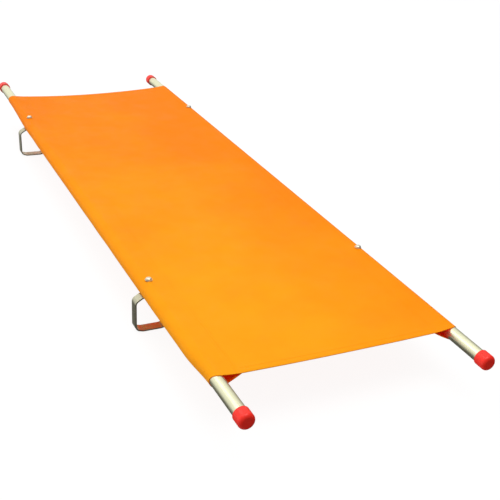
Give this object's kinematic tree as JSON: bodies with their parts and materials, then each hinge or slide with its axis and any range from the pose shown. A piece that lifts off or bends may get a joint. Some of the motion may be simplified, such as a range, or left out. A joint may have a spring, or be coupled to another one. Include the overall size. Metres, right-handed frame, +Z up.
{
  "type": "folding stretcher",
  "caption": "Folding stretcher: a fabric sheet sewn round two straight tubular poles with end caps, on loop feet, held open by folding spreader bars.",
  "frame": {"origin": "on the ground, below the middle of the opened stretcher", "axes": "+X across the stretcher to the right-hand pole, +Y along the poles to the far end, +Z up"},
  "size_m": [0.5966, 2.014, 0.1264],
  "materials": {
    "pole_tube": "satin",
    "end_cap": "satin",
    "sheet_fabric": "coated",
    "foot_strap": "zinc plated",
    "spreader_link": "zinc plated",
    "saddle": "cast",
    "bush": "turned",
    "fastener": "zinc plated"
  },
  "bodies": {
    "left_pole": {"left_tube": "pole_tube", "left_sleeve": "sheet_fabric", "left_washers": "fastener", "near_left_cap": "end_cap", "near_left_saddle": "saddle", "near_left_foot": "foot_strap", "near_left_bolt": "fastener", "near_left_nut": "fastener", "near_left_crush_sleeve": "fastener", "near_left_bush": "bush", "far_left_cap": "end_cap", "far_left_saddle": "saddle", "far_left_foot": "foot_strap", "far_left_bolt": "fastener", "far_left_nut": "fastener", "far_left_crush_sleeve": "fastener", "far_left_bush": "bush", "sheet_panel": "sheet_fabric"},
    "near_link_left": {"near_left_link": "spreader_link", "near_knee_rivet": "fastener"},
    "near_link_right": {"near_right_link": "spreader_link"},
    "right_pole": {"right_tube": "pole_tube", "right_sleeve": "sheet_fabric", "right_washers": "fastener", "near_right_cap": "end_cap", "near_right_saddle": "saddle", "near_right_foot": "foot_strap", "near_right_bolt": "fastener", "near_right_nut": "fastener", "near_right_crush_sleeve": "fastener", "near_right_bush": "bush", "far_right_cap": "end_cap", "far_right_saddle": "saddle", "far_right_foot": "foot_strap", "far_right_bolt": "fastener", "far_right_nut": "fastener", "far_right_crush_sleeve": "fastener", "far_right_bush": "bush"},
    "far_link_left": {"far_left_link": "spreader_link", "far_knee_rivet": "fastener"},
    "far_link_right": {"far_right_link": "spreader_link"}
  },
  "joints": [
    {"name": "near_left_pivot", "type": "hinge", "parent": "left_pole", "child": "near_link_left", "pos_m": [-0.265, -0.495, 0.08775], "axis": [0, 0, 1], "range_deg": [0, 79], "deforming": ["sheet_panel"]},
    {"name": "near_knee", "type": "hinge", "parent": "near_link_left", "child": "near_link_right", "pos_m": [0, -0.495, 0.08775], "axis": [0, 0, 1], "range_deg": [-158, 0]},
    {"name": "near_right_pivot", "type": "hinge", "parent": "near_link_right", "child": "right_pole", "pos_m": [0.265, -0.495, 0.08775], "axis": [0, 0, 1], "range_deg": [0, 79]},
    {"name": "far_left_pivot", "type": "hinge", "parent": "left_pole", "child": "far_link_left", "pos_m": [-0.265, 0.615, 0.08775], "axis": [0, 0, 1], "range_deg": [-79, 0]},
    {"name": "far_knee", "type": "hinge", "parent": "far_link_left", "child": "far_link_right", "pos_m": [0, 0.615, 0.08775], "axis": [0, 0, 1], "range_deg": [0, 158]}
  ],
  "couplings": [
    {"joint": "near_knee", "follows": "near_left_pivot", "ratio": -2},
    {"joint": "near_right_pivot", "follows": "near_left_pivot", "ratio": 1},
    {"joint": "far_left_pivot", "follows": "near_left_pivot", "ratio": -1},
    {"joint": "far_knee", "follows": "near_left_pivot", "ratio": 2}
  ]
}
